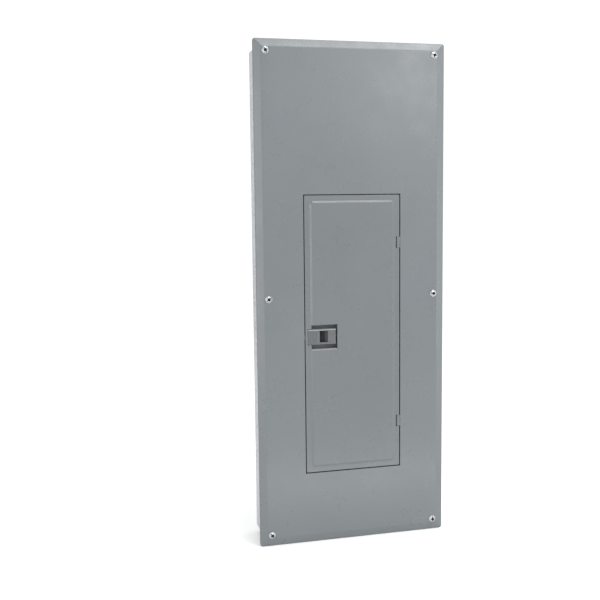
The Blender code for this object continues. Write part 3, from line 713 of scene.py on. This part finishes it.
def make_latch_lip():
    """Turned-in edge of the door round three sides of the latch, open where the slider moves."""
    bm = bmesh.new()
    rows = []
    for right, y, bottom, top in (
        (LIP_X[1], FACE_Y - RAISE, LIP_Z[0], LIP_Z[1]),
        (LIP_X[1] - 0.5, FACE_Y - 1.6, LIP_Z[0] + 0.9, LIP_Z[1] - 0.5),
        (LIP_X[0], FACE_Y + 0.3, LIP_Z[0] + 3.2, LIP_Z[1] - 1.6),
    ):
        corners = ((LIP_LEFT, bottom), (right, bottom), (right, top), (LIP_LEFT, top))
        rows.append([bm.verts.new((x, y, z)) for x, z in corners])
    for first, second, sides in zip(rows, rows[1:], ((0, 1, 2), (0, 2))):
        for number in sides:
            bm.faces.new((first[number], first[number + 1], second[number + 1], second[number]))
    lip = new_mesh("door_latch_lip", bm)
    thicken(lip, 0.9)
    settle(lip, DOOR_PAINT, "door", sharp=50.0, flat=True)


def make_slider():
    """Latch slider: plate, body, sloped ledge, rounded rim, tongue, finger hole and grip ribs."""
    low, high = SLIDER_LOW, SLIDER_HIGH
    z = (low[2], high[2])
    x = (low[0] + 6.9, high[0])
    front = low[1]
    bm = bmesh.new()
    add_box(bm, x, (front + 0.9, front + 2.4), z, 0.3)
    slider = new_mesh("latch_slider_detail", bm)
    carve_box(slider, (-71.5, -49.5), (front + 1.0, front + 10.2),
              (LATCH_Z - 12.9, LATCH_Z + 12.9), 0.4, operation="UNION")
    bm = bmesh.new()
    ledge = ((front + 2.3, z[1]), (front + 0.1, z[1] - 3.0), (front, z[1] - 3.4),
             (front + 0.3, z[1] - 3.8), (front + 2.0, z[1] - 3.8))
    add_prism(bm, ledge, x)
    carve(slider, bm, "UNION")
    carve_box(slider, x, (front, front + 2.0), (z[0], z[0] + 1.8), 0.75, 3, "UNION")
    carve_box(slider, (low[0], -90.0), (front + 1.9, front + 5.3),
              (LATCH_Z - 4.0, LATCH_Z + 4.0), 0.4, operation="UNION")
    bm = bmesh.new()
    scoop = ((-68.8, -110.0), (-52.0, -110.0), (-52.0, -96.6), (-53.4, -95.2), (-56.8, -93.0),
             (-61.5, -90.6), (-65.0, -89.9), (-68.8, -89.9))
    close_prism(bm, [
        [bm.verts.new((px, py, LATCH_Z + half)) for px, py in scoop]
        for half in (-GRIP_HALF, GRIP_HALF)
    ])
    carve(slider, bm)
    settle(slider, LATCH, "latch", ("latch_slider",))
    for made in (PAINTED_SHADE, BLACK_AND_PAINTED_SHADE, PAINTED_HIGHLIGHT):
        slider.data.materials.append(made)
    # Painted shade inside the finger hole (near-black on the left, black on the right), and a
    # painted highlight on the upward faces of the ledge's slope.
    for part in slider.data.polygons:
        x_mm, y_mm, z_mm = part.center / MM
        within = -68.9 < x_mm < -51.9 and abs(z_mm - LATCH_Z) < 11.5
        if within and y_mm > front + 2.6:
            part.material_index = 1 if x_mm < -57.0 else 2
        # Painted highlight: upward faces of the ledge's slope take the lighter grey.
        elif part.normal.z > 0.4 and part.normal.y < -0.4 and z_mm > z[1] - 3.2:
            part.material_index = 3
    bm = bmesh.new()
    for number in range(RIB_COUNT):
        middle = -89.6 + RIB_STEP * number
        add_box(bm, (middle - RIB_HALF, middle + RIB_HALF), (front + 0.1, front + 1.2),
                (LATCH_Z - 11.8, LATCH_Z + 11.2), 0.3)
    piece("latch_grip_ribs", bm, LATCH, "latch")


def make_well():
    """The latch's housing, hollow to the front, with a gap for the tongue."""
    bm = bmesh.new()
    add_box(bm, (WELL_LOW[0], WELL_HIGH[0]), (WELL_LOW[1], WELL_HIGH[1]),
            (WELL_LOW[2], WELL_HIGH[2]), 0.8)
    well = new_mesh("latch_well", bm)
    carve_box(well, (WELL_LOW[0] + 1.6, WELL_HIGH[0] - 2.0), (-99.0, -87.8),
              (LATCH_Z - 27.0, LATCH_Z + 27.0))
    carve_box(well, (WELL_LOW[0] - 2.0, WELL_LOW[0] + 3.2), (-98.0, -92.6),
              (LATCH_Z - 5.0, LATCH_Z + 5.0))
    # Dark finish, made darker partly as painted shade for the shadowed trench round the slider.
    settle(well, DARK_AND_PAINTED_SHADE, "door", ("latch_housing",))


def make_spring():
    """The latch's return spring, a coil between the slider and the door."""
    low, high = box_mm("latch_spring")
    start, end = low[0] + 0.4, high[0] - 0.4
    turns, steps, radius = 5, 24, 2.1
    curve = bpy.data.curves.new("spring", "CURVE")
    curve.dimensions = "3D"
    curve.bevel_depth = 0.35 * MM
    curve.bevel_resolution = 3
    curve.use_fill_caps = True
    spline = curve.splines.new("POLY")
    count = turns * steps
    spline.points.add(count)
    for number, point in enumerate(spline.points):
        angle = 2 * math.pi * number / steps
        x = start + (end - start) * number / count
        y = (low[1] + high[1]) / 2 + radius * math.cos(angle)
        z = LATCH_Z + radius * math.sin(angle)
        point.co = (x * MM, y * MM, z * MM, 1.0)
    guide = placed("spring_guide", curve)
    bpy.context.view_layer.update()
    mesh = evaluated(guide)
    bpy.data.objects.remove(guide)
    spring = placed("latch_spring_coil", mesh)
    mesh.materials.clear()
    mesh.materials.append(ZINC)
    mesh.shade_smooth()
    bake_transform(spring)
    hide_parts("latch_spring")


def make_card():
    """Rules and row numbers on the directory card, read with the door open."""
    back = CARD_HIGH[1]
    bm = bmesh.new()
    top = CARD_HIGH[2] - 16.0
    pitch = (top - CARD_LOW[2] - 6.0) / ROWS
    half, edge, column = 0.18, 66.0, 57.0
    for number in range(ROWS + 1):
        z = top - pitch * number
        add_box(bm, (-edge, edge), (back - 0.05, back + 0.06), (z - half, z + half))
    for x in (-edge, -column, 0.0, column, edge):
        add_box(bm, (x - half, x + half), (back - 0.05, back + 0.05), (top - pitch * ROWS, top))
    for row in range(1, ROWS + 1):
        z = top - pitch * (row - 0.5)
        for side, value in ((1, 2 * row - 1), (-1, 2 * row)):
            add_text(bm, str(value), 4.6, (side * 61.5, back + 0.01, z), behind=True)
    piece("directory_rules", bm, INK, "door")


# ---------------------------------------------------------------- dead front and interior


def make_dead_front_details():
    """Twist-out fillers in the free places, row numbers, and switch marks by the main."""
    bm = bmesh.new()
    for side in (-1, 1):
        taken = (1,) if side < 0 else (1, 2)
        x = tuple(sorted(side * end for end in FILLER_X))
        for row in range(1, ROWS + 1):
            if row in taken:
                continue
            z = row_height(row)
            add_box(bm, x, (FLOOR_Y - 0.35, FLOOR_Y + 0.2), (z - 8.6, z + 8.6), 0.2)
            for end in (x[0] + 4.5, x[1] - 4.5):
                add_box(bm, (end - 1.5, end + 1.5), (FLOOR_Y - 0.7, FLOOR_Y),
                        (z - 0.5, z + 0.5), 0.15)
    piece("deadfront_twist_outs", bm, PAINT, "cover")
    bm = bmesh.new()
    y = FLOOR_Y - 0.03
    for row in range(1, ROWS + 1):
        for side, value in ((-1, 2 * row - 1), (1, 2 * row)):
            add_text(bm, str(value), 7.0, (side * NUMBER_X, y, row_height(row)))
    for word, z in (("ON", 170.0), ("OFF", 92.0)):
        add_text(bm, word, 8.0, (0.0, y, z))
    piece("deadfront_figures", bm, WHITE, "cover")


def slotted_heads(name, places, radius, height, slot, slot_y):
    """One piece of flat screw heads. A slot runs past each head by slot[0], slot[1] half high."""
    bm = bmesh.new()
    profile = ((0.0, -0.3), (radius, -0.3), (radius, height * 0.7), (radius * 0.85, height),
               (0.0, height))
    for place in places:
        add_turned(bm, profile, place, steps=20)
    heads = new_mesh(name, bm)
    bm = bmesh.new()
    reach = radius + slot[0]
    for place in places:
        x, z = place[0], place[2]
        add_box(bm, (x - reach, x + reach), slot_y, (z - slot[1], z + slot[1]))
    carve(heads, bm)
    settle(heads, ZINC, "enclosure")


def make_bar_details():
    """Slotted terminal screws of the neutral and ground bars, and discs of painted shade for
    their wire holes.
    """
    profile = ((0.0, SUNK), (WIRE_HOLE_RADIUS, SUNK), (WIRE_HOLE_RADIUS, PROUD), (0.0, PROUD))
    for name, count, step, holes, first in (
        ("neutral_bar_left", 15, 24.0, 29, -332.0),
        ("neutral_bar_right", 15, 24.0, 29, -332.0),
        ("ground_bar", 8, 12.0, 8, -308.0),
    ):
        low, high = box_mm(name)
        x = (low[0] + high[0]) / 2
        top = low[1]
        places = [(x, top + 0.2, first + step * number) for number in range(count)]
        slotted_heads(name + "_screw_heads", places, TERMINAL_RADIUS, 0.9,
                      (0.6, 0.45), (top - 2.0, top - 0.2))
        bm = bmesh.new()
        for number in range(holes):
            z = first + WIRE_HOLE_STEP * number
            for face, out in ((low[0], -1.0), (high[0], 1.0)):
                add_turned(bm, profile, (face, top + 7.0, z), (out, 0.0, 0.0), 18)
        # Dark discs of painted shade standing for the wire holes.
        piece(name + "_wire_hole_shade", bm, DARK_AND_PAINTED_SHADE, "enclosure")


def make_breaker_details():
    """Rating figures and rivets of the plug-on breakers."""
    rivet = ((0.0, SUNK), (1.9, SUNK), (1.9, 0.08), (1.5, 0.16), (0.0, 0.16))
    for label, side, rows in (("2p", 1, (1, 2)), ("1p", -1, (1,))):
        low, high = box_mm(f"breaker_{label}_case")
        bm = bmesh.new()
        for row in rows:
            z = row_height(row)
            add_text(bm, "20", 4.4, (side * 26.0, CASE_Y, z))
            if row == rows[0]:
                for word, x in (("ON", 34.5), ("OFF", 56.0)):
                    add_text(bm, word, 3.0, (side * x, CASE_Y, z + 6.4))
        piece(f"breaker_{label}_figures", bm, WHITE, "enclosure")
        bm = bmesh.new()
        for z, out in ((low[2], -1.0), (high[2], 1.0)):
            for x, y in ((15.0, -70.0), (30.0, -34.0), (66.0, -70.0), (70.0, -36.0)):
                add_turned(bm, rivet, (side * x, y, z), (0.0, 0.0, out), 18)
        piece(f"breaker_{label}_rivets", bm, ZINC, "enclosure")


def make_main_details():
    """Grip ribs, side rails, fixing screws and the rating on the main breaker."""
    face = box_mm("main_breaker_cover")[0][1] + 3.5
    bm = bmesh.new()
    for number in range(5):
        z = 176.0 + 4.0 * number
        add_box(bm, (-44.0, 44.0), (face - 0.5, face + 0.4), (z - 0.7, z + 0.7), 0.25)
    for x in ((-48.0, -36.0), (36.0, 48.0)):
        add_box(bm, x, (face - 0.6, face + 0.4), (70.0, 160.0), 0.3)
    piece("main_breaker_ribs", bm, BLACK_AND_PAINTED_SHADE, "enclosure")
    places = [(x, face, z) for x in (-48.5, 48.5) for z in (66.0, 190.0)]
    slotted_heads("main_breaker_screws", places, TERMINAL_RADIUS, 1.1,
                  (0.5, 0.5), (face - 3.0, face - 0.5))
    bm = bmesh.new()
    add_text(bm, "200", 9.0, (0.0, face - 0.02, 88.0))
    piece("main_breaker_figures", bm, WHITE, "enclosure")


def make_knockouts():
    """Concentric knockouts pressed proud of the box's end and side walls, each ringed by painted
    shade for its sheared cut.
    """
    ring = (
        (0.0, SUNK), (16.4, SUNK), (16.4, 0.6), (16.0, 0.9), (12.2, 0.9),
        (11.8, 0.2), (11.2, 0.2), (10.8, 1.1), (0.0, 1.1),
    )
    small = ((0.0, SUNK), (10.8, SUNK), (10.8, 0.5), (10.4, 0.8), (0.0, 0.8))
    # Rings of painted shade standing for the sheared cuts round the knockouts.
    cut_shade_ring = ((16.3, SUNK), (17.4, SUNK), (17.4, PROUD), (16.3, PROUD))
    small_cut_shade_ring = ((10.7, SUNK), (11.7, SUNK), (11.7, PROUD), (10.7, PROUD))
    walls = []
    for word, side in (("left", -1.0), ("right", 1.0)):
        x = BOX_LOW[0] if side < 0 else BOX_HIGH[0]
        large = [(x, -46.0, z) for z in (430.0, 372.0, 314.0, -314.0, -372.0, -430.0)]
        little = [(x, -30.0, z) for z in (250.0, 150.0, 50.0, -50.0, -150.0, -250.0)]
        little += [(x, -64.0, z) for z in (226.0, 126.0, 26.0, -74.0, -174.0, -274.0)]
        walls.append((word, (side, 0.0, 0.0), large, little))
    for word, side in (("top", 1.0), ("bottom", -1.0)):
        z = BOX_HIGH[2] if side > 0 else BOX_LOW[2]
        large = [(x, -46.0, z) for x in (-126.0, -84.0, -42.0, 0.0, 42.0, 84.0, 126.0)]
        walls.append((word, (0.0, 0.0, side), large, [(-158.0, -34.0, z), (158.0, -34.0, z)]))
    for word, out, large, little in walls:
        bm = bmesh.new()
        cut_shade = bmesh.new()
        for place in large:
            add_turned(bm, ring, place, out, 32)
            add_turned(cut_shade, cut_shade_ring, place, out, 32)
        for place in little:
            add_turned(bm, small, place, out, 28)
            add_turned(cut_shade, small_cut_shade_ring, place, out, 28)
        piece(f"knockouts_{word}", bm, GALVANISED, "enclosure")
        # Dark rings of painted shade standing for the knockouts' cuts.
        piece(f"knockout_cut_shade_rings_{word}", cut_shade, DARK_AND_PAINTED_SHADE, "enclosure")


# ---------------------------------------------------------------- camera, light and floor


def place_camera():
    """The photograph's view, from the panel's left and a little above its middle."""
    camera = bpy.data.cameras.new("camera")
    camera.lens = LENS
    camera.sensor_width = SENSOR
    camera.clip_start = 0.05
    obj = placed("camera", camera)
    yaw, pitch, roll = (math.radians(angle) for angle in (YAW, PITCH_DOWN, ROLL))
    ahead = Vector((
        math.sin(yaw) * math.cos(pitch), math.cos(yaw) * math.cos(pitch), -math.sin(pitch),
    ))
    right = Vector((math.cos(yaw), -math.sin(yaw), 0.0))
    up = right.cross(ahead)
    turned_right = math.cos(roll) * right + math.sin(roll) * up
    turned_up = -math.sin(roll) * right + math.cos(roll) * up
    matrix = Matrix((turned_right, turned_up, -ahead)).transposed().to_4x4()
    matrix.translation = Vector(EYE)
    obj.matrix_world = matrix
    bpy.context.scene.camera = obj


def area_light(name, place, target, size, power):
    """A white panel light that the camera doesn't see."""
    light = bpy.data.lights.new(name, "AREA")
    light.energy = power
    light.shape = "RECTANGLE"
    light.size, light.size_y = size
    obj = placed(name, light)
    obj.location = place
    look = Vector(target) - Vector(place)
    obj.rotation_euler = look.to_track_quat("-Z", "Y").to_euler()
    obj.visible_camera = False


def place_stage():
    """Pale floor just under the box, and a white world."""
    mesh = bpy.data.meshes.new("floor")
    bm = bmesh.new()
    bmesh.ops.create_grid(bm, x_segments=1, y_segments=1, size=FLOOR_HALF)
    bm.to_mesh(mesh)
    bm.free()
    floor = placed("floor", mesh)
    floor.location = (0.0, 0.0, CAD_BOX[0][2] - FLOOR_DROP)
    made, tree, shader = tree_of("pale_floor")
    tone = ramp(tree, noise(tree, object_coords(tree), 3.0, 2.0), ((0.3, 0.96), (0.7, 0.98)))
    tree.links.new(tone, shader.inputs["Base Color"])
    shader.inputs["Roughness"].default_value = 0.9
    floor.data.materials.append(made)
    world = bpy.data.worlds.new("studio")
    world.use_nodes = True
    background = world.node_tree.nodes["Background"]
    background.inputs["Color"].default_value = (1.0, 1.0, 1.0, 1.0)
    background.inputs["Strength"].default_value = WORLD
    bpy.context.scene.world = world
    bpy.context.scene.view_settings.view_transform = "Standard"


finish_nodes()
make_cover()
make_hinge_leaves()
make_studs()
make_cover_screws()
make_door()
make_door_ears()
make_latch_lip()
make_slider()
make_well()
make_spring()
make_card()
make_dead_front_details()
make_bar_details()
make_breaker_details()
make_main_details()
make_knockouts()
place_camera()
place_stage()
for light in LIGHTS:
    area_light(*light)
